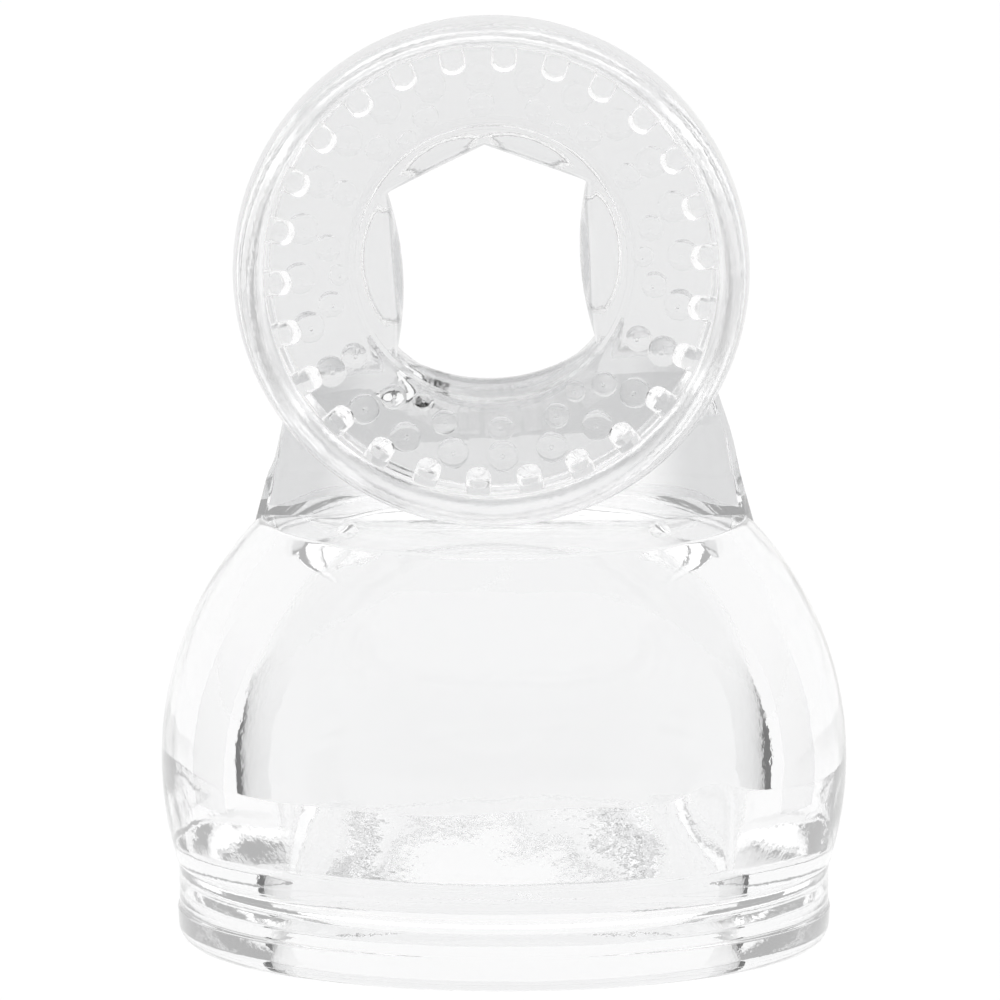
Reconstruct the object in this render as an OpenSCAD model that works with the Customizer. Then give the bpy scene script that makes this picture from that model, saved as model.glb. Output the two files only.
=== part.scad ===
// Clear elastomer moulding: a studded stretch ring standing on a web over a bell-shaped, open-mouthed cup.
// Millimetres, +Z up, origin at the centre of the cup's mouth on the plane it stands on, ring's front towards -Y.

/* [Cup] */
// Radius of the ball that the cup's outside is turned from
cup_r = 34.3; // [32:0.1:37]
// Height of that ball's centre above the base
cup_centre_z = 18.5; // [17:0.1:20]
// Thickness of the cup's wall
cup_wall_t = 8; // [7:0.1:9]
// Height of the flat deck on top of the cup
deck_z = 42.7; // [41.5:0.1:43]
// Thickness of that deck over the flat of the cavity's top
deck_t = 3; // [2.5:0.1:5]
// Radius inside the ridge that narrows the mouth
mouth_r = 21; // [20:0.1:22]

/* [Rim] */
// Outer radius of the rim at its top
rim_r = 32.7; // [32.5:0.1:33.5]
// Height of the rim
rim_h = 5; // [4:0.1:6]
// Height of the plain band between rim and ball
band_h = 3; // [2:0.1:4]
// Round of the rim's lower outside corner
rim_round = 3; // [1:0.1:4]

/* [Ring] */
// Outer radius of the ring
ring_r = 25.7; // [25:0.1:26.2]
// Depth of the ring from its front lip to its back
ring_depth = 14; // [13:0.1:16]
// Radius of the bore behind the pads
bore_r = 13.2; // [13:0.1:13.6]
// How much the ring's outside draws in towards its back
ring_taper = 1.6; // [1:0.1:2]
// Gap between the ring and the deck
ring_gap = 0.9; // [0.6:0.1:1.5]
// Sideways lean of the ring on its web, in degrees
ring_lean = 3.5; // [0:0.5:4]

/* [Studs] */
// Number of studs in the outer row
outer_studs = 26; // [22:2:26]
// Number of studs in the second row
second_studs = 24; // [18:1:24]
// Number of studs in the third row
third_studs = 18; // [12:1:18]

/* [Web] */
// Thickness of the web between ring and deck
web_t = 8; // [6:0.5:10]
// Half width of the web at the height of the deck
web_half_w = 25; // [24.5:0.1:25.5]
// Slope of the web's sides from upright, in degrees
web_slope = 15; // [10:0.5:18]

/* [Hidden] */
$fn = 96;

clear_look = [0.90, 0.92, 0.93, 0.45];
pad_look = [0.86, 0.89, 0.91, 0.55];
stud_look = [0.95, 0.96, 0.97, 0.6];

big = 200;
lip_r = 27;                                  // where the mouth's lip meets the rim
band_r = 32.5;
band_top = rim_h + band_h;
wall_top = 30;                               // where wall and shoulder meet
cavity_r = cup_r - cup_wall_t;
corner_z = 17.4;                             // where the cavity's taper starts
taper_z = 10.3;                              // and where it ends
taper_r = 23.7;                              // the way in, below and above the ridge
ridge_low = 4.2;                             // the ridge's flat inner face, from here
ridge_high = 5.6;                            // to here
ceiling_z = deck_z - deck_t;
ceiling_r = sqrt(pow(cavity_r, 2) - pow(ceiling_z - cup_centre_z, 2));
corner_r = sqrt(pow(cavity_r, 2) - pow(corner_z - cup_centre_z, 2));

ring_z = deck_z + ring_gap + ring_r;         // the ring's axis
ring_front_y = -13;                          // its front lip
ring_back_y = ring_front_y + ring_depth;     // its back, where the web starts
foot_round = 3.4;
foot_top = deck_z + foot_round + 0.1;
head_bottom = 50.6;
head_top = 58;
hinge_z = 48.4;                              // where the web bends
yoke_r = 14.6;                               // the web's cut around the bore

wall_r = 22.6;                               // the inside of the ring's outer wall
lip_tube = (ring_r - wall_r + 0.1) / 2;
floor_u = 4;                                 // depth of the studded floor at its rim
floor_in_u = 5.2;                            // and at the edge of the throat
throat_r = 14.2;
throat_u = 8;                                // where the throat's cone ends in the bore
back_round = 7;
flange_u = ring_depth - back_round;          // where the outer wall starts to round in
floor_inner_r = 15.9;                        // where floor and throat wall meet

pad_from = 8;
pad_to = ring_depth - 1;

// points of an arc from angle a to angle b about c
function arc(c, r, a, b, n = 10) =
    [for (i = [0:n]) c + r * [cos(a + (b - a) * i / n), sin(a + (b - a) * i / n)]];

// half width of the web at height z
function web_w(z) = web_half_w - (z - deck_z) * tan(web_slope);

// depth of the studded floor at radius r
function floor_at(r) = floor_u + (wall_r - r) / (wall_r - throat_r) * (floor_in_u - floor_u);

module slab(low, high) {
    translate([-big / 2, -big / 2, low]) cube([big, big, high - low]);
}

module ball(r) {
    translate([0, 0, cup_centre_z]) sphere(r = r);
}

module leaning() {
    translate([0, 0, hinge_z]) rotate([0, -ring_lean, 0]) translate([0, 0, -hinge_z]) children();
}

// turns a profile of [radius, depth] points about the ring's axis
module about_ring() {
    leaning() translate([0, ring_front_y, ring_z]) rotate([-90, 0, 0]) rotate_extrude() children();
}

// ---- cup ----

module rim_band() {
    color(clear_look) rotate_extrude() polygon(concat(
        [[lip_r, 0]],
        arc([rim_r - 0.8 - rim_round, rim_round], rim_round, -90, -8),
        [[rim_r, rim_h], [lip_r, rim_h]]
    ));
}

module mouth_lip() {
    lip_edge = 0.6;
    color(clear_look) rotate_extrude() polygon([
        [taper_r, lip_edge], [taper_r + lip_edge, 0], [lip_r, 0], [lip_r, rim_h], [mouth_r, rim_h],
        [mouth_r, ridge_low], [taper_r, ridge_low - 1.2]
    ]);
}

module waist_band() {
    color(clear_look) rotate_extrude() polygon([
        [mouth_r, rim_h], [band_r, rim_h], [band_r, band_top], [taper_r, band_top],
        [taper_r, ridge_high + 1.4], [mouth_r, ridge_high]
    ]);
}

module cavity() {
    intersection() {
        ball(cavity_r);
        slab(corner_z, ceiling_z);
    }
    translate([0, 0, taper_z]) cylinder(h = corner_z - taper_z, r1 = taper_r, r2 = corner_r);
    translate([0, 0, band_top - 1]) cylinder(h = taper_z - band_top + 1, r = taper_r);
}

module cup_wall() {
    color(clear_look) difference() {
        intersection() {
            ball(cup_r);
            slab(band_top, wall_top);
        }
        cavity();
    }
}

module shoulder() {
    color(clear_look) difference() {
        intersection() {
            ball(cup_r);
            slab(wall_top, deck_z);
        }
        cavity();
        translate([0, 0, ceiling_z - 1]) cylinder(h = deck_t + 2, r = ceiling_r);
    }
}

module deck_disc() {
    color(clear_look) translate([0, 0, ceiling_z]) cylinder(h = deck_t, r = ceiling_r);
}

module deck_pips() {
    pip_r = 1.2;
    color(stud_look) for (side = [-1, 1]) intersection() {
        translate([side * 15.6, -9, deck_z - pip_r / 3]) sphere(r = pip_r, $fn = 32);
        slab(deck_z, deck_z + 5);
    }
}

module parting_line() {
    proud = 0.15;
    half_w = 0.25;
    color(clear_look) difference() {
        intersection() {
            ball(cup_r + proud);
            slab(band_top + 0.5, deck_z - 0.5);
            translate([-half_w, -big / 2, 0]) cube([2 * half_w, big, big]);
        }
        ball(cup_r);
    }
}

// ---- web ----

// the web's body: a slab with sides turned to a cone about the cup's axis, between two heights
module web_block(low, high) {
    slope = tan(web_slope);
    intersection() {
        translate([-big / 2, ring_back_y, low]) cube([big, web_t, high - low]);
        translate([0, 0, low]) cylinder(
            h = high - low,
            r1 = web_half_w - (low - deck_z) * slope,
            r2 = web_half_w - (high - deck_z) * slope
        );
    }
}

module web_foot() {
    fillet_w = web_half_w - 5.5;
    color(clear_look) union() {
        difference() {
            web_block(deck_z - 1, foot_top);
            intersection() {
                ball(cup_r);
                slab(0, deck_z);
            }
        }
        difference() {
            translate([-fillet_w, ring_back_y - foot_round, deck_z]) cube([2 * fillet_w, foot_round, foot_round]);
            translate([-big / 2, ring_back_y - foot_round, deck_z + foot_round])
                rotate([0, 90, 0]) cylinder(h = big, r = foot_round);
        }
    }
}

module web_flex() {
    color(clear_look) difference() {
        web_block(foot_top, head_bottom + 5);
        leaning() slab(head_bottom, head_bottom + 50);
    }
}

module web_head() {
    corner = 1.5;
    top_w = web_w(head_top);
    color(clear_look) difference() {
        leaning() web_block(head_bottom, head_top);
        leaning() translate([0, -big / 2, ring_z]) rotate([-90, 0, 0]) cylinder(h = big, r = yoke_r);
        for (side = [0, 1]) leaning() mirror([side, 0, 0])
            translate([top_w + 3, -big / 2, head_top - corner - 3]) rotate([0, -45, 0]) cube([20, big, 20]);
    }
}

// ---- ring ----

module ring_section() {
    back_edge = 0.8;
    polygon(concat(
        [[bore_r, throat_u], [throat_r, floor_in_u + 0.8], [throat_r + 0.7, floor_in_u]],
        arc([wall_r - 1.6, floor_u - 1.6], 1.6, 90, 0),
        [[wall_r, lip_tube], [ring_r, lip_tube]],
        arc([ring_r - ring_taper - back_round, flange_u], back_round, 15, 90),
        [[bore_r + back_edge, ring_depth], [bore_r, ring_depth - back_edge]]
    ));
}

module section_between(low, high) {
    intersection() {
        ring_section();
        translate([low, -1]) square([high - low, big]);
    }
}

module ring_flange() {
    color(clear_look) about_ring() union() {
        section_between(wall_r, ring_r + 1);
        intersection() {
            translate([(wall_r + ring_r) / 2, lip_tube]) circle(r = (ring_r - wall_r) / 2, $fn = 48);
            translate([wall_r, -5]) square([10, 5 + lip_tube]);
        }
    }
}

module ring_floor() {
    color(clear_look) about_ring() section_between(floor_inner_r, wall_r);
}

module throat_wall() {
    color(clear_look) about_ring() section_between(0, floor_inner_r);
}

// corners of the free opening through the throat, on its right-hand side
upper_corner = [9.7, 7.4];
lower_corner = [10.2, -8.8];
peak_z = 11.5;
base_z = -12.1;

// the opening itself, seen from the front: six-sided, its upright sides bulging in
module opening_2d() {
    bulge = 1.1;
    mid = (upper_corner + lower_corner) / 2;
    half = norm(upper_corner - lower_corner) / 2;
    bulge_r = (half * half + bulge * bulge) / (2 * bulge);
    drop = lower_corner.y - base_z;
    base_r = (pow(lower_corner.x, 2) + pow(drop, 2)) / (2 * drop);
    base_a = asin(lower_corner.x / base_r);
    difference() {
        polygon(concat(
            [lower_corner, upper_corner, [0, peak_z], [-upper_corner.x, upper_corner.y]],
            arc([0, base_z + base_r], base_r, 270 - base_a, 270 + base_a, 20)
        ));
        for (side = [0, 1]) mirror([side, 0])
            translate([mid.x - bulge + bulge_r, mid.y]) circle(r = bulge_r);
    }
}

module along_ring(from, to) {
    leaning() translate([0, ring_front_y + to, ring_z]) rotate([90, 0, 0]) linear_extrude(to - from) children();
}

// the part of the bore left solid between two directions
module pad(a, b) {
    reach = 40;
    mid = (a + b) / 2;
    along_ring(pad_from, pad_to) intersection() {
        difference() {
            circle(r = bore_r);
            opening_2d();
        }
        polygon([[0, 0], reach * [cos(a), sin(a)], reach * [cos(mid), sin(mid)], reach * [cos(b), sin(b)]]);
    }
}

upper_a = atan2(upper_corner.y, upper_corner.x);
lower_a = atan2(lower_corner.y, lower_corner.x);

module side_pads() {
    color(pad_look) {
        pad(lower_a, upper_a);
        pad(180 - upper_a, 180 - lower_a);
    }
}

module top_pads() {
    color(pad_look) pad(upper_a, 180 - upper_a);
}

module bottom_pad() {
    color(pad_look) pad(226, 314);
}

// ---- studs ----

// one stud with a domed end: r is its radius, h its height, tilt turns it from the ring's axis inwards
module stud(r, h, tilt, at_r, at_u) {
    sink = 1.2;
    dome = 0.5 * r;
    translate([at_r, 0, at_u]) rotate([0, -tilt, 0]) mirror([0, 0, 1]) {
        translate([0, 0, -sink]) cylinder(h = h - dome + sink, r = r, $fn = 32);
        translate([0, 0, h - dome]) intersection() {
            translate([0, 0, dome - 1.25 * r]) sphere(r = 1.25 * r, $fn = 32);
            translate([-big / 2, -big / 2, 0]) cube(big);
        }
    }
}

module stud_row(count, start, r, h, tilt, at_r, at_u) {
    color(stud_look) difference() {
        leaning() translate([0, ring_front_y, ring_z]) rotate([-90, 0, 0])
            for (i = [0:count - 1]) rotate([0, 0, start + i * 360 / count]) stud(r, h, tilt, at_r, at_u);
        about_ring() ring_section();
    }
}

module stud_row_outer() {
    stud_row(outer_studs, 90 + 180 / outer_studs, 1.15, 2.4, -62, wall_r - 0.4, 2.75);
}

module stud_row_second() {
    stud_row(second_studs, 90, 1.45, 1.3, -8, 19.15, floor_at(19.15));
}

module stud_row_third() {
    stud_row(third_studs, 90, 1.2, 1.15, -8, 16.4, floor_at(16.4));
}

module stud_row_inner() {
    stud_row(6, 0, 0.9, 0.8, -8, 15.15, floor_at(15.15));
}

rim_band();
mouth_lip();
waist_band();
cup_wall();
shoulder();
deck_disc();
deck_pips();
parting_line();
web_foot();
web_flex();
web_head();
ring_flange();
ring_floor();
throat_wall();
side_pads();
top_pads();
bottom_pad();
stud_row_outer();
stud_row_second();
stud_row_third();
stud_row_inner();
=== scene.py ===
import math

import bpy
from mathutils import Matrix, Vector


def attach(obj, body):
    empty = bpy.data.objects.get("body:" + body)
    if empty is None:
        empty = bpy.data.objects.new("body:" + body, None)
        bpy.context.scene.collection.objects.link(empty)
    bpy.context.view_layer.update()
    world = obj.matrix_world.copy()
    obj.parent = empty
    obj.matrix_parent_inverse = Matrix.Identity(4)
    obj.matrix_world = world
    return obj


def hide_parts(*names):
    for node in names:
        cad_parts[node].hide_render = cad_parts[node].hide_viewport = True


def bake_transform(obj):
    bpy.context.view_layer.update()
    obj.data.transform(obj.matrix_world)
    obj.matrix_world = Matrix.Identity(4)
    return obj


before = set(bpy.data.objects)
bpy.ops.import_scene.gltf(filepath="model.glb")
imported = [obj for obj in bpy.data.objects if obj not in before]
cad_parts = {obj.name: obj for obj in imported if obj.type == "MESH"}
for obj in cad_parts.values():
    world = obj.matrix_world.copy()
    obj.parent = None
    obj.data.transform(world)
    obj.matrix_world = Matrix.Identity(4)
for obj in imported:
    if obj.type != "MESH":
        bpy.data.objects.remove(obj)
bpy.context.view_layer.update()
mm = 0.001

lean = {
    "angle": math.radians(3.5),                # the soft ring leans towards -X on the web
    "about": (0, 0, 48.4),
}
ring = {
    "front": -13.0,                            # y of the front lip
    "axisZ": 69.3,
    "depth": 14.0,
    "outer": 25.7,
    "wall": 22.6,                              # inside of the outer wall
    "throat": 14.2,
    "bore": 13.2,
    "floor": (4.0, 5.2),                       # depth of the studded floor, outside and inside
    "backShadeDepth": 6.0,                           # the painted shade on the ring's back reaches this far forward
    "steps": 192,
}


def deselectAll():
    if bpy.context.object and bpy.context.object.mode != "OBJECT":
        bpy.ops.object.mode_set(mode="OBJECT")
    bpy.ops.object.select_all(action="DESELECT")


def pick(*pieces):
    deselectAll()
    for piece in pieces:
        piece.select_set(True)
    bpy.context.view_layer.objects.active = pieces[0]


def tidyMesh(piece, gap=1e-7):
    pick(piece)
    bpy.ops.object.mode_set(mode="EDIT")
    bpy.ops.mesh.select_all(action="SELECT")
    bpy.ops.mesh.remove_doubles(threshold=gap)
    bpy.ops.mesh.normals_make_consistent(inside=False)
    bpy.ops.object.mode_set(mode="OBJECT")


def loftLoops(name, loops, closed=False):
    # a tube pulled up from a circle, one extrusion for each loop, then every loop is put in its place
    count = len(loops[0])
    if closed:
        loops = loops + [loops[0]]
    deselectAll()
    bpy.ops.mesh.primitive_circle_add(vertices=count, radius=1)
    piece = bpy.context.object
    piece.name = piece.data.name = name
    bpy.ops.object.mode_set(mode="EDIT")
    bpy.ops.mesh.select_all(action="SELECT")
    if not closed:
        bpy.ops.mesh.edge_face_add()
        bpy.ops.mesh.select_all(action="SELECT")
    for _ in loops[1:]:
        bpy.ops.mesh.extrude_region_move(TRANSFORM_OT_translate={"value": (0, 0, 1)})
    bpy.ops.object.mode_set(mode="OBJECT")
    for v in piece.data.vertices:
        turn = round(math.atan2(v.co.y, v.co.x) / (2 * math.pi) * count) % count
        v.co = Vector(loops[round(v.co.z)][turn]) * mm
    tidyMesh(piece)
    return piece


def circleLoop(r, z, steps, way=1):
    loop = []
    for i in range(steps):
        turn = 2 * math.pi * i / steps
        loop.append((r * math.cos(turn), way * r * math.sin(turn), z))
    return loop


def turned(name, profile, steps):
    # a solid of revolution about Z from its outline of (radius, height)
    return loftLoops(name, [circleLoop(r, z, steps) for r, z in profile], closed=True)


def rounded(corners, perCorner=6):
    # the outline through (x, y, radius) corners, each rounded by its radius
    points = []
    count = len(corners)
    for i, (x, y, radius) in enumerate(corners):
        here = Vector((x, y))
        before = Vector(corners[i - 1][:2]) - here
        after = Vector(corners[(i + 1) % count][:2]) - here
        if radius <= 0 or before.length < 1e-9 or after.length < 1e-9:
            points.append((x, y))
            continue
        half = before.angle(after) / 2
        if half > math.pi / 2 - 0.01:
            points.append((x, y))
            continue
        reach = min(radius / math.tan(half), before.length * 0.5, after.length * 0.5)
        radius = reach * math.tan(half)
        a, b = before.normalized(), after.normalized()
        centre = here + (a + b).normalized() * (radius / math.sin(half))
        start, end = here + a * reach - centre, here + b * reach - centre
        sweep = start.angle_signed(end)
        for k in range(perCorner + 1):
            p = start.copy()
            p.rotate(Matrix.Rotation(-sweep * k / perCorner, 2))
            points.append((centre.x + p.x, centre.y + p.y))
    return points


def unite(piece, *others):
    for other in others:
        pick(piece)
        joint = piece.modifiers.new("unite", "BOOLEAN")
        joint.operation, joint.solver, joint.object = "UNION", "EXACT", other
        bpy.ops.object.modifier_apply(modifier=joint.name)
        bpy.data.objects.remove(other)
    tidyMesh(piece, 1e-6)


def cut(piece, other, keep=False):
    pick(piece)
    joint = piece.modifiers.new("cut", "BOOLEAN")
    joint.operation, joint.solver, joint.object = "INTERSECT" if keep else "DIFFERENCE", "EXACT", other
    bpy.ops.object.modifier_apply(modifier=joint.name)
    bpy.data.objects.remove(other)


def duplicate(piece, name):
    other = piece.copy()
    other.data = piece.data.copy()
    other.name = other.data.name = name
    bpy.context.collection.objects.link(other)
    return other


def move(piece, matrix):
    piece.data.transform(matrix)


def smooth(piece):
    pick(piece)
    bpy.ops.object.shade_smooth_by_angle(angle=math.radians(32))


def arc(cx, cy, r, start, end, count):
    return [
        (cx + r * math.cos(math.radians(start + (end - start) * k / count)),
         cy + r * math.sin(math.radians(start + (end - start) * k / count)))
        for k in range(count + 1)
    ]


pivot = Vector(lean["about"]) * mm
leanMatrix = Matrix.Translation(pivot) @ Matrix.Rotation(-lean["angle"], 4, "Y") @ Matrix.Translation(-pivot)
# stands a piece made about Z on the ring's axis, its +Z running back from the front lip
lieBack = Matrix.Rotation(-math.pi / 2, 4, "X")
ringMatrix = leanMatrix @ Matrix.Translation(Vector((0, ring["front"], ring["axisZ"])) * mm) @ lieBack

print("scene: camera and studio")
camera = {
    "distance": 2.5,
    "elevation": 9.0,
    "target": (-0.0004, 0.0, 0.0444),
    "span": 0.100,                             # width that the view takes in
    "sensor": 36,
}
bpy.ops.object.camera_add()
view = bpy.context.object
view.name = "viewCamera"
tilt = math.radians(camera["elevation"])
target = Vector(camera["target"])
view.location = target + Vector((0, -math.cos(tilt), math.sin(tilt))) * camera["distance"]
view.rotation_euler = (math.pi / 2 - tilt, 0, 0)
view.data.sensor_width = camera["sensor"]
view.data.lens = camera["sensor"] * camera["distance"] / camera["span"]
view.data.clip_start = 0.01
bpy.context.scene.camera = view
bpy.context.scene.view_settings.view_transform = "Standard"

studio = {
    "overhead": 1.12,                          # brightness of the soft light above
    "behind": 1.0,                             # of the white wall behind the object
    "room": 0.76,                              # of the unlit room round the camera
    "overheadFade": (0.35, 0.75),              # heights on the unit sphere between which it grows
    "behindFade": (-0.75, -0.35),
    "floor": (0.97, 0.97, 0.97),
}


def buildStudioWorld():
    # soft light from above and a white wall behind; the room on the camera's side stays dim
    world = bpy.data.worlds.new("studioWorld")
    bpy.context.scene.world = world
    world.use_nodes = True
    nodes, links = world.node_tree.nodes, world.node_tree.links
    place = nodes.new("ShaderNodeTexCoord")
    parts = nodes.new("ShaderNodeSeparateXYZ")
    links.new(place.outputs["Generated"], parts.inputs["Vector"])
    above, behind = nodes.new("ShaderNodeMapRange"), nodes.new("ShaderNodeMapRange")
    most = nodes.new("ShaderNodeMath")
    for spread, axis, (low, high), bright in (
        (above, "Z", studio["overheadFade"], studio["overhead"]),
        (behind, "Y", studio["behindFade"], studio["behind"]),
    ):
        spread.interpolation_type = "SMOOTHSTEP"
        links.new(parts.outputs[axis], spread.inputs["Value"])
        spread.inputs["From Min"].default_value = low
        spread.inputs["From Max"].default_value = high
        spread.inputs["To Min"].default_value = studio["room"]
        spread.inputs["To Max"].default_value = bright
    most.operation = "MAXIMUM"
    links.new(above.outputs["Result"], most.inputs[0])
    links.new(behind.outputs["Result"], most.inputs[1])
    links.new(most.outputs[0], nodes["Background"].inputs["Strength"])
    nodes["Background"].inputs["Color"].default_value = (1, 1, 1, 1)


buildStudioWorld()


def plainMaterial(name, colour, roughness=0.9):
    material = bpy.data.materials.new(name)
    material.use_nodes = True
    shader = material.node_tree.nodes["Principled BSDF"]
    shader.inputs["Base Color"].default_value = (*colour, 1)
    shader.inputs["Roughness"].default_value = roughness
    return material


bpy.ops.mesh.primitive_plane_add(size=14, location=(0, 0, -0.0002))
floor = bpy.context.object
floor.name = "studioFloor"
floor.data.materials.append(plainMaterial("paleFloor", studio["floor"]))

flags = {
    "beside": 0.085,                           # dark cards that stand beside the cup, out of view
    "from": 0.0,                               # from here back
    "to": 0.0300,                              # to here
    "height": 0.06,
    "colour": (0.10, 0.10, 0.10),
    "fadeFrom": 0.022,                         # they thin out upwards from here
}


def buildFlagMaterial():
    material = plainMaterial("flagBlack", flags["colour"])
    nodes, links = material.node_tree.nodes, material.node_tree.links
    place, parts = nodes.new("ShaderNodeNewGeometry"), nodes.new("ShaderNodeSeparateXYZ")
    thin = nodes.new("ShaderNodeMapRange")
    links.new(place.outputs["Position"], parts.inputs["Vector"])
    links.new(parts.outputs["Z"], thin.inputs["Value"])
    thin.inputs["From Min"].default_value = flags["fadeFrom"]
    thin.inputs["From Max"].default_value = flags["height"]
    thin.inputs["To Min"].default_value = 1.0
    thin.inputs["To Max"].default_value = 0.0
    links.new(thin.outputs["Result"], nodes["Principled BSDF"].inputs["Alpha"])
    return material


flagBlack = buildFlagMaterial()
for side in (-1, 1):
    bpy.ops.mesh.primitive_plane_add(size=1, rotation=(0, math.pi / 2, 0))
    flag = bpy.context.object
    flag.name = "blackFlag"
    flag.location = (side * flags["beside"], (flags["from"] + flags["to"]) / 2, flags["height"] / 2)
    flag.scale = (flags["height"], flags["to"] - flags["from"], 1)
    flag.data.materials.append(flagBlack)
    # only reflections and what is seen through the clear walls take them in
    flag.visible_camera = flag.visible_diffuse = flag.visible_shadow = False

print("scene: clear elastomer")
gel = {
    "ior": 1.42,
    "polished": (0.02, 0.036),                 # roughness, clearest to most hazed
    "satin": (0.07, 0.17),
    "cupTint": (0.943, 0.944, 0.946, 1),
    "webTint": (0.94, 0.941, 0.943, 1),
    # painted shade: the colour the web's two sides are darkened to
    "webSidePaintedShade": (0.70, 0.703, 0.708, 1),
    # painted shade: the ring's back is tinted darker grey, standing in for the dim surroundings seen through
    # the clear gel
    "backPaintedShade": (0.64, 0.643, 0.648, 1),
    "paintedGlow": (0.15, 0.15, 0.15, 1),        # painted glow: the colour the walls give off where light has turned inside them
    "caughtAfter": 2.5,                        # turns inside the walls
    "waviness": 0.10,
    "grain": 0.02,
    "fineGrain": 0.006,                        # on the polished parts
    "greyFrom": 13,                            # painted shade: the web is painted greyer between these distances from its middle
    "greyTo": 19,
}


def buildSkinGroup():
    # soft moulding skin: long slow waves from the mould, and a fine grain that hazes the gloss in patches
    group = bpy.data.node_groups.new("mouldedSkin", "ShaderNodeTree")
    for name, kind, value in (
        ("Wave Size", "NodeSocketFloat", 120.0),
        ("Grain Size", "NodeSocketFloat", 1400.0),
        ("Waviness", "NodeSocketFloat", 0.1),
        ("Grain", "NodeSocketFloat", 0.02),
        ("Polished", "NodeSocketFloat", 0.02),
        ("Hazed", "NodeSocketFloat", 0.09),
    ):
        socket = group.interface.new_socket(name=name, in_out="INPUT", socket_type=kind)
        socket.default_value = value
    group.interface.new_socket(name="Roughness", in_out="OUTPUT", socket_type="NodeSocketFloat")
    group.interface.new_socket(name="Height", in_out="OUTPUT", socket_type="NodeSocketFloat")
    nodes, links = group.nodes, group.links
    start, end = nodes.new("NodeGroupInput"), nodes.new("NodeGroupOutput")
    place = nodes.new("ShaderNodeTexCoord")
    wave, grain, patch = (nodes.new("ShaderNodeTexNoise") for _ in range(3))
    for noise in (wave, grain, patch):
        links.new(place.outputs["Object"], noise.inputs["Vector"])
    links.new(start.outputs["Wave Size"], wave.inputs["Scale"])
    links.new(start.outputs["Grain Size"], grain.inputs["Scale"])
    wave.inputs["Detail"].default_value = 1.0
    grain.inputs["Detail"].default_value = 2.0
    patch.inputs["Scale"].default_value = 90.0
    patch.inputs["Detail"].default_value = 3.0
    waveHeight, grainHeight = nodes.new("ShaderNodeMath"), nodes.new("ShaderNodeMath")
    height = nodes.new("ShaderNodeMath")
    for scaled, noise, amount in ((waveHeight, wave, "Waviness"), (grainHeight, grain, "Grain")):
        scaled.operation = "MULTIPLY"
        links.new(noise.outputs["Fac"], scaled.inputs[0])
        links.new(start.outputs[amount], scaled.inputs[1])
    height.operation = "ADD"
    links.new(waveHeight.outputs[0], height.inputs[0])
    links.new(grainHeight.outputs[0], height.inputs[1])
    spread = nodes.new("ShaderNodeMapRange")
    spread.inputs["From Min"].default_value = 0.35
    spread.inputs["From Max"].default_value = 0.75
    links.new(patch.outputs["Fac"], spread.inputs["Value"])
    links.new(start.outputs["Polished"], spread.inputs["To Min"])
    links.new(start.outputs["Hazed"], spread.inputs["To Max"])
    links.new(spread.outputs["Result"], end.inputs["Roughness"])
    links.new(height.outputs[0], end.inputs["Height"])
    return group


skinGroup = buildSkinGroup()


def clearGel(name, tint, polished, hazed, grain):
    material = bpy.data.materials.new(name)
    material.use_nodes = True
    nodes, links = material.node_tree.nodes, material.node_tree.links
    shader = nodes["Principled BSDF"]
    shader.inputs["Base Color"].default_value = tint
    shader.inputs["IOR"].default_value = gel["ior"]
    shader.inputs["Transmission Weight"].default_value = 1.0
    skin = nodes.new("ShaderNodeGroup")
    skin.node_tree = skinGroup
    skin.inputs["Polished"].default_value = polished
    skin.inputs["Hazed"].default_value = hazed
    skin.inputs["Waviness"].default_value = gel["waviness"]
    skin.inputs["Grain"].default_value = grain
    bump = nodes.new("ShaderNodeBump")
    bump.inputs["Strength"].default_value = 1.0
    bump.inputs["Distance"].default_value = 0.001
    links.new(skin.outputs["Roughness"], shader.inputs["Roughness"])
    links.new(skin.outputs["Height"], bump.inputs["Height"])
    links.new(bump.outputs["Normal"], shader.inputs["Normal"])
    # painted glow: after light has turned round inside the walls many times, the surface emits a pale glow,
    # so those paths come out pale, not black
    path, caught = nodes.new("ShaderNodeLightPath"), nodes.new("ShaderNodeMath")
    glow = nodes.new("ShaderNodeMix")
    caught.operation = "GREATER_THAN"
    caught.inputs[1].default_value = gel["caughtAfter"]
    glow.data_type = "RGBA"
    glow.inputs["A"].default_value = (0, 0, 0, 1)
    glow.inputs["B"].default_value = gel["paintedGlow"]
    links.new(path.outputs["Glossy Depth"], caught.inputs[0])
    links.new(caught.outputs[0], glow.inputs["Factor"])
    links.new(glow.outputs["Result"], shader.inputs["Emission Color"])
    shader.inputs["Emission Strength"].default_value = 1.0
    material.cycles.emission_sampling = "NONE"
    return material


cupGel = clearGel("clearGelPolished", gel["cupTint"], *gel["polished"], gel["fineGrain"])
webGel = clearGel("clearGelWeb", gel["webTint"], *gel["polished"], gel["fineGrain"])
ringGel = clearGel("clearGelSatin", (1, 1, 1, 1), *gel["satin"], gel["grain"])
# the ring's back gets the painted shade, a darker grey tint
backShadeGel = clearGel("clearGelBackPaintedShade", gel["backPaintedShade"], *gel["satin"], gel["grain"])


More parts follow.
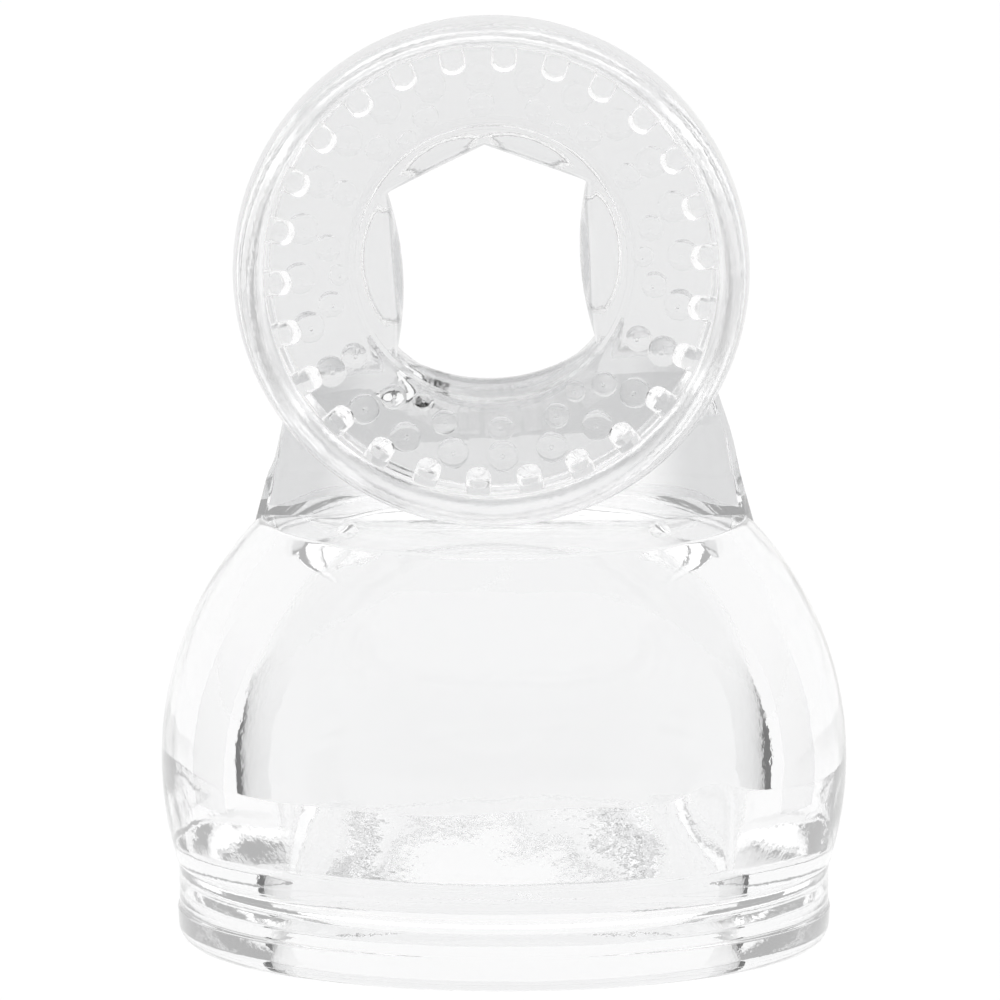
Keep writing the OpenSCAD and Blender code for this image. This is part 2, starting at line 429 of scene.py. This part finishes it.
def paintShadeTowardsSides(material, colour, start, end):
    # painted shade: the web is painted greyer towards its two sides, where its thick clear sides look darker
    # in the light
    nodes, links = material.node_tree.nodes, material.node_tree.links
    place, parts = nodes.new("ShaderNodeTexCoord"), nodes.new("ShaderNodeSeparateXYZ")
    reach, spread = nodes.new("ShaderNodeMath"), nodes.new("ShaderNodeMapRange")
    mix = nodes.new("ShaderNodeMix")
    reach.operation = "ABSOLUTE"
    mix.data_type = "RGBA"
    spread.interpolation_type = "SMOOTHSTEP"
    links.new(place.outputs["Object"], parts.inputs["Vector"])
    links.new(parts.outputs["X"], reach.inputs[0])
    links.new(reach.outputs[0], spread.inputs["Value"])
    spread.inputs["From Min"].default_value = start * mm
    spread.inputs["From Max"].default_value = end * mm
    links.new(spread.outputs["Result"], mix.inputs["Factor"])
    shader = nodes["Principled BSDF"]
    mix.inputs["A"].default_value = shader.inputs["Base Color"].default_value
    mix.inputs["B"].default_value = colour
    links.new(mix.outputs["Result"], shader.inputs["Base Color"])


# painted shade on the web's two sides
paintShadeTowardsSides(webGel, gel["webSidePaintedShade"], gel["greyFrom"], gel["greyTo"])

# where two regions of the one moulding meet, nothing shows
seamless = bpy.data.materials.new("insideSeam")
seamless.use_nodes = True
seamless.node_tree.nodes["Principled BSDF"].inputs["Alpha"].default_value = 0.0


def finishPiece(piece, body, nodes, materialAt):
    # materialAt gives the material of a face from its centre, in millimetres, and its normal
    piece.data.materials.clear()
    used = []
    for face in piece.data.polygons:
        material = materialAt(face.center / mm, face.normal)
        if material not in used:
            used.append(material)
            piece.data.materials.append(material)
        face.material_index = used.index(material)
    smooth(piece)
    piece.visible_diffuse = piece.visible_shadow = False   # clear, so the floor is lit through it
    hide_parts(*nodes)
    if body:
        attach(piece, body)


print("scene: cup")
cup = {
    "ballRadius": 34.3,
    "ballZ": 18.5,
    "cavityRadius": 26.3,
    "ceilingZ": 39.7,                          # the cavity's flat top
    "cornerZ": 17.4,                           # the cavity narrows from here
    "taper": (23.7, 10.3),                     # to this radius at this height
    "ridge": (22.7, 5.2),                      # the ridge round the mouth: its radius and its middle's height
    "lip": 24.5,                               # the flat it stands on, from this radius
    "band": 32.5,                              # to the outside of the rim band
    "bellFrom": 9.0,
    "deckZ": 42.7,
    "deckEdge": 1.0,
    "partingLine": 0.06,
    "pip": 1.2,
    "pipAt": (15.6, -9),
    "rimZ": 8.0,                               # the rim piece ends here and the bell piece starts
    "shoulderZ": 30.0,
    "steps": 192,
}
wander = {
    "reach": 3.2,                              # how far up and down the corner's wandering is felt
    "slow": (0.35, 3, 0.6),                    # its height, times round the cup, and start
    "quick": (0.2, 7, 0.0),
    "bump": (1.7, 0.80, 0.16),                 # one lone rise: its height, place and width
}


def ballPoint(radius, z):
    return math.sqrt(radius ** 2 - (z - cup["ballZ"]) ** 2)


def ballAngle(radius, z):
    return math.degrees(math.asin((z - cup["ballZ"]) / radius))


def cupProfile():
    ball, centre, start, band = cup["ballRadius"], cup["ballZ"], cup["bellFrom"], cup["band"]
    # up the outside: the rounded foot, a faint step, the groove under the bell
    rim = rounded([
        (cup["lip"], 0, 0), (band, 0, 3.2), (32.7, 3.5, 0.3), (32.45, 3.75, 0.3), (band, 4.4, 0.4),
        (32.55, 8.1, 0.3), (32.85, 8.35, 0.2), (ballPoint(ball, start), start, 0), (24, start, 0),
    ])[1:-1]
    bell = arc(0, centre, ball, ballAngle(ball, start), ballAngle(ball, cup["deckZ"] - 0.7), 44)[1:]
    edge = bell[-1]
    deck = rounded([
        (edge[0], edge[1], 0), (ballPoint(ball, cup["deckZ"]), cup["deckZ"], cup["deckEdge"]),
        (18, cup["deckZ"], 0), (18, 20, 0),
    ])[1:-1]
    deck += [(12, cup["deckZ"]), (6, cup["deckZ"]), (0, cup["deckZ"])]
    # and down the inside: the flat top, the dome, the corner, the taper, the way in with its ridge
    inner, corner, top = cup["cavityRadius"], cup["cornerZ"], cup["ceilingZ"]
    neck, neckZ = cup["taper"]
    ridge, ridgeZ = cup["ridge"]
    dome = arc(0, centre, inner, ballAngle(inner, top - 0.4), ballAngle(inner, corner + 0.5), 40)
    cavity = [(0, top), (5, top), (10, top)]
    cavity += rounded([(10, top, 0), (ballPoint(inner, top), top, 4.0), (dome[6][0], dome[6][1], 0)])[1:-1]
    cavity += dome[6:] + rounded([
        (dome[-1][0], dome[-1][1] + 1, 0), (ballPoint(inner, corner), corner, 0.6),
        (neck, neckZ, 3.0), (neck, ridgeZ + 1.3, 0.8),
        (ridge, ridgeZ + 0.2, 0.5), (ridge, ridgeZ - 0.4, 0.5),
        (neck - 0.4, ridgeZ - 1.5, 0.8), (neck - 0.5, 0, 0.6), (cup["lip"], 0, 0),
    ])[1:-1]
    return rim + bell + deck + cavity


web = {
    "reach": 25.0,                             # of its ends from the axis, at the deck
    "slope": math.radians(15),                 # at which the ends draw in upwards
    "front": 1.0,                              # y of its two faces
    "back": 9.0,
    "corner": 1.6,
    "points": 96,                              # round one outline
    "footTop": 46.2,
    "headBottom": 50.6,
    "headTop": 58.0,
    "topRound": 1.6,
    "yoke": 14.6,
    "fillet": 3.4,
    "filletEnd": 21.5,                         # distance from the middle at which the fillet has gone
    "filletFade": 5,
}


def webLoop(z, grow=0.0, front=web["front"], back=web["back"]):
    # the web's outline at one height: a slab whose ends follow a cone about the cup's axis
    corner = web["corner"]
    reach = web["reach"] - (z - cup["deckZ"]) * math.tan(web["slope"]) + grow
    x1, x2 = math.sqrt(reach ** 2 - front ** 2), math.sqrt(reach ** 2 - back ** 2)
    mid = math.sqrt(reach ** 2 - 5 ** 2)
    outline = rounded([
        (x1, front, corner), (mid, 5, 30), (x2, back, corner),
        (-x2, back, corner), (-mid, 5, 30), (-x1, front, corner),
    ], 8)
    # spread evenly along the outline, starting on the right
    lengths = [0.0]
    closedOutline = outline + [outline[0]]
    for a, b in zip(closedOutline, closedOutline[1:]):
        lengths.append(lengths[-1] + math.dist(a, b))
    loop = []
    for i in range(web["points"]):
        at = lengths[-1] * i / web["points"]
        k = max(j for j in range(len(outline)) if lengths[j] <= at + 1e-12)
        span = lengths[k + 1] - lengths[k]
        t = (at - lengths[k]) / span if span else 0
        a, b = closedOutline[k], closedOutline[k + 1]
        loop.append((a[0] + (b[0] - a[0]) * t, a[1] + (b[1] - a[1]) * t, z))
    return loop


cupSolid = turned("cupSolid", cupProfile(), cup["steps"])
for v in cupSolid.data.vertices:
    place = v.co / mm
    radius, turn = math.hypot(place.x, place.y), math.atan2(place.x, -place.y)
    # the cavity's corner wanders up and down, most at one place right of the front
    inside = radius < cup["cavityRadius"] + 0.1 and 10 < place.z < 25
    if inside:
        nearCorner = math.exp(-((place.z - cup["cornerZ"]) / wander["reach"]) ** 2)
        rise = 0.0
        for size, times, start in (wander["slow"], wander["quick"]):
            rise += size * math.sin(times * turn + start)
        size, middle, width = wander["bump"]
        rise += size * math.exp(-((turn - middle) / width) ** 2)
        v.co.z += nearCorner * rise * mm
    # the mould's parting line runs up the front and the back of the bell
    onBell = cup["rimZ"] + 1 < place.z < cup["deckZ"] - 1
    if onBell and abs(place.x) < 0.01 and radius > ballPoint(cup["ballRadius"], place.z) - 0.1:
        v.co.y *= 1 + cup["partingLine"] / radius
for side in (-1, 1):
    bpy.ops.mesh.primitive_uv_sphere_add(segments=32, ring_count=16, radius=cup["pip"] * mm)
    pip = bpy.context.object
    pipX, pipY = cup["pipAt"]
    move(pip, Matrix.Translation(Vector((side * pipX, pipY, cup["deckZ"] - cup["pip"] / 3)) * mm))
    unite(cupSolid, pip)
footLoops = []
for z in (41.8, 42.7, 42.75, 42.85, 43.0, 43.25, 43.6, 44.1, 44.7, 45.4, 46.1, 46.2):
    rise = min(1.0, max(0.0, (z - cup["deckZ"]) / web["fillet"]))
    reach = web["fillet"] * (1 - math.sqrt(1 - (1 - rise) ** 2))
    loop = []
    for x, y, height in webLoop(z):
        # the fillet along the front fades out short of the web's sides
        fade = min(1.0, max(0.0, (web["filletEnd"] - abs(x)) / web["filletFade"]))
        out = reach * fade * fade * (3 - 2 * fade) if y < web["front"] + 0.01 else 0
        loop.append((x, y - out, height))
    footLoops.append(loop)
foot = loftLoops("webFoot", footLoops)
unite(cupSolid, foot)
print("scene: cup solid", len(cupSolid.data.polygons), "faces")


def boxPiece(low, high):
    deselectAll()
    bpy.ops.mesh.primitive_cube_add(size=1)
    piece = bpy.context.object
    middle, size = (Vector(high) + Vector(low)) / 2 * mm, (Vector(high) - Vector(low)) * mm
    move(piece, Matrix.Translation(middle) @ Matrix.Diagonal((*size, 1)))
    return piece


def levelPart(piece, name, low, high):
    # the part of a piece between two heights
    part = duplicate(piece, name)
    cut(part, boxPiece((-60, -60, low), (60, 60, high)), keep=True)
    tidyMesh(part, 1e-6)
    return part


def cupMaterial(*seams):
    # clear at the level seams, and the web's material above the deck
    def materialAt(centre, normal):
        if abs(normal.z) > 0.999 and any(abs(centre.z - seam) < 0.002 for seam in seams):
            return seamless
        return webGel if centre.z > cup["deckZ"] + 0.02 and centre.y > -2.6 else cupGel
    return materialAt


rimPiece = levelPart(cupSolid, "cupRim", -1, cup["rimZ"])
bellPiece = levelPart(cupSolid, "cupBell", cup["rimZ"], cup["shoulderZ"])
deckPiece = levelPart(cupSolid, "cupShoulder", cup["shoulderZ"], 60)
bpy.data.objects.remove(cupSolid)
finishPiece(rimPiece, "cup", ["rim_band", "mouth_lip", "waist_band"], cupMaterial(cup["rimZ"]))
finishPiece(bellPiece, "cup", ["cup_wall", "parting_line"], cupMaterial(cup["rimZ"], cup["shoulderZ"]))
finishPiece(
    deckPiece, "cup", ["shoulder", "deck_disc", "deck_pips", "web_foot"],
    cupMaterial(cup["shoulderZ"], web["footTop"]),
)

print("scene: ring")


def ringProfile():
    outer, wall = ring["outer"], ring["wall"]
    lip = (outer - wall) / 2
    floorOut, floorIn = ring["floor"]
    depth, bore = ring["depth"], ring["bore"]
    profile = arc(wall + lip, lip, lip, 0, -180, 16)
    profile += rounded([
        (wall, lip, 0), (wall, floorOut, 1.4), (ring["throat"] + 0.4, floorIn, 1.2),
        (bore, 8.0, 2.0), (bore, depth, 0.9), (outer - 1.9, depth, 7.0),
        (outer - 0.05, lip + 0.3, 0.6), (outer, lip, 0),
    ], 8)[1:-1]
    return profile


def stud(r, h):
    # a round stub with a domed end and a small dimple in its middle
    dome = 0.62 * r
    profile = [(0, -1.2), (r * 1.06, -1.2), (r * 1.06, 0.15)]
    for k in range(6):
        turn = math.radians(15 * k)
        profile.append((r * math.cos(turn), h - dome + dome * math.sin(turn)))
    profile += [(0.17 * r, h + 0.01), (0.1 * r, h - 0.16), (0, h - 0.2)]
    return turned("stud", profile, 24)


ringSolid = turned("ringSolid", ringProfile(), ring["steps"])
studRows = [
    {"count": 26, "start": 90 + 180 / 26, "r": 1.25, "h": 2.4, "tilt": -62, "at": 22.2, "depth": 2.75},
    {"count": 24, "start": 90, "r": 1.5, "h": 1.75, "tilt": -8, "at": 19.15},
    {"count": 18, "start": 90, "r": 1.25, "h": 1.5, "tilt": -8, "at": 16.4},
    {"count": 6, "start": 0, "r": 1.0, "h": 0.85, "tilt": -8, "at": 15.2},
]
studs = []
for row in studRows:
    copies = []
    model = stud(row["r"], row["h"])
    floorOut, floorIn = ring["floor"]
    inwards = (ring["wall"] - row["at"]) / (ring["wall"] - ring["throat"])
    depth = row.get("depth", floorOut + inwards * (floorIn - floorOut))
    for i in range(row["count"]):
        one = duplicate(model, "studCopy")
        around = Matrix.Rotation(math.radians(row["start"] + i * 360 / row["count"]), 4, "Z")
        outwards = Matrix.Translation(Vector((row["at"], 0, depth)) * mm)
        tilted = Matrix.Rotation(math.radians(-row["tilt"]), 4, "Y")
        move(one, around @ outwards @ tilted @ Matrix.Rotation(math.pi, 4, "Y"))
        copies.append(one)
    bpy.data.objects.remove(model)
    pick(*copies)
    bpy.ops.object.join()
    studs.append(bpy.context.object)

pads = {
    "half": (9.7, 10.2),                       # half width of the opening at its upper and lower corners
    "corners": (7.4, -8.8),
    "peak": 11.5,
    "base": -12.1,
    "bulge": 1.1,                              # of each side, inwards
    "from": 6.6,                               # depth behind the front lip
    "to": 13.4,
    "over": 0.35,                              # how far the pads sink into the throat's wall
    "under": 0.8,                              # and their outside
}


def openingRadius(angle):
    # how far the free opening reaches from the ring's axis in one direction
    best = math.inf
    dx, dz = math.cos(angle), math.sin(angle)
    upper, lower = (Vector(corner) for corner in zip(pads["half"], pads["corners"]))
    for side in (-1, 1):
        mid, half = (upper + lower) / 2, (upper - lower).length / 2
        radius = (half ** 2 + pads["bulge"] ** 2) / (2 * pads["bulge"])
        cx, cz = side * (mid.x - pads["bulge"] + radius), mid.y
        along = dx * cx + dz * cz
        inside = radius ** 2 - (cx * cx + cz * cz - along ** 2)
        if inside > 0 and along > 0:
            best = min(best, along - math.sqrt(inside))
        # roof line from the upper corner to the peak
        normal = Vector((side * (pads["peak"] - upper.y), upper.x)).normalized()
        reach = normal.x * dx + normal.y * dz
        if reach > 0.01:
            best = min(best, normal.y * pads["peak"] / reach)
    drop = lower.y - pads["base"]
    radius = (lower.x ** 2 + drop ** 2) / (2 * drop)
    cz = pads["base"] + radius
    along = dz * cz
    inside = radius ** 2 - (cz * cz - along ** 2)
    best = min(best, along + math.sqrt(max(0.0, inside)))
    return best


def padSolid():
    steps = 240
    levels = 18
    loops = []
    inside, outside = ring["bore"] + pads["over"], ring["bore"] + pads["under"]
    # each row has its depth and how far the pads stand out there
    rows = [(pads["from"] - 0.4, 0.0)]
    for k in range(levels + 1):
        t = k / levels
        rows.append((pads["from"] + (pads["to"] - pads["from"]) * t, math.sin(math.pi * t) ** 0.55))
    for u, full in rows:
        loop = []
        for i in range(steps):
            a = 2 * math.pi * i / steps
            r = inside - (inside - min(openingRadius(a), inside)) * full
            loop.append((r * math.cos(a), -r * math.sin(a), u))
        loops.append(loop)
    for u in (rows[-1][0], rows[0][0]):
        loops.append(circleLoop(outside, u, steps, way=-1))
    return loftLoops("padSolid", loops, closed=True)


padPiece = padSolid()
unite(ringSolid, *studs, padPiece)
move(ringSolid, ringMatrix)
print("scene: ring solid", len(ringSolid.data.polygons), "faces")

headLoops = [webLoop(z) for z in (web["headBottom"], 52, 54, 55.5)]
for k in range(7):
    turn = math.pi / 2 * k / 6
    drawIn = web["topRound"] * (1 - math.cos(turn))
    z = web["headTop"] - web["topRound"] * (1 - math.sin(turn))
    headLoops.append(webLoop(z, -drawIn, web["front"] + drawIn, web["back"] - drawIn))
head = loftLoops("webHead", headLoops)
bore = turned("yokeCut", [(0, -30), (web["yoke"], -30), (web["yoke"], 30), (0, 30)], 128)
move(bore, Matrix.Translation(Vector((0, 0, ring["axisZ"])) * mm) @ lieBack)
cut(head, bore)
move(head, leanMatrix)
unite(ringSolid, head)
ringSolid.name = ringSolid.data.name = "studdedRing"
ringBack = ring["front"] + ring["depth"]


def ringMaterial(centre, normal):
    # clear at the head's underside, then the web's material, the ring's back with its painted shade, and its
    # front
    upright = leanMatrix.inverted() @ (centre * mm) / mm
    if upright.y > web["front"] - 0.1 and abs(upright.z - web["headBottom"]) < 0.01:
        return seamless
    if upright.y > ringBack + 0.02:
        return webGel
    return backShadeGel if upright.y > ringBack - ring["backShadeDepth"] else ringGel


finishPiece(ringSolid, "ring", [
    "web_head", "ring_flange", "ring_floor", "throat_wall", "side_pads", "top_pads", "bottom_pad",
    "stud_row_outer", "stud_row_second", "stud_row_third", "stud_row_inner",
], ringMaterial)

print("scene: web")
flexLoops = []
for k in range(13):
    # upright at the foot, and leaning with the ring at the head
    t = k / 12
    z = web["footTop"] + (web["headBottom"] - web["footTop"]) * t
    ease = t * t * (3 - 2 * t)
    loop = []
    for point in webLoop(z):
        straight = Vector(point)
        leaned = leanMatrix @ (straight * mm) / mm
        loop.append(tuple(straight.lerp(leaned, ease)))
    flexLoops.append(loop)
webPiece = loftLoops("webFlex", flexLoops)
topNormal = leanMatrix.to_3x3() @ Vector((0, 0, 1))


def flexMaterial(centre, normal):
    return seamless if abs(normal.dot(topNormal)) > 0.9995 or abs(normal.z) > 0.9999 else webGel


finishPiece(webPiece, None, ["web_flex"], flexMaterial)
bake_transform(webPiece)

print("scene: done")
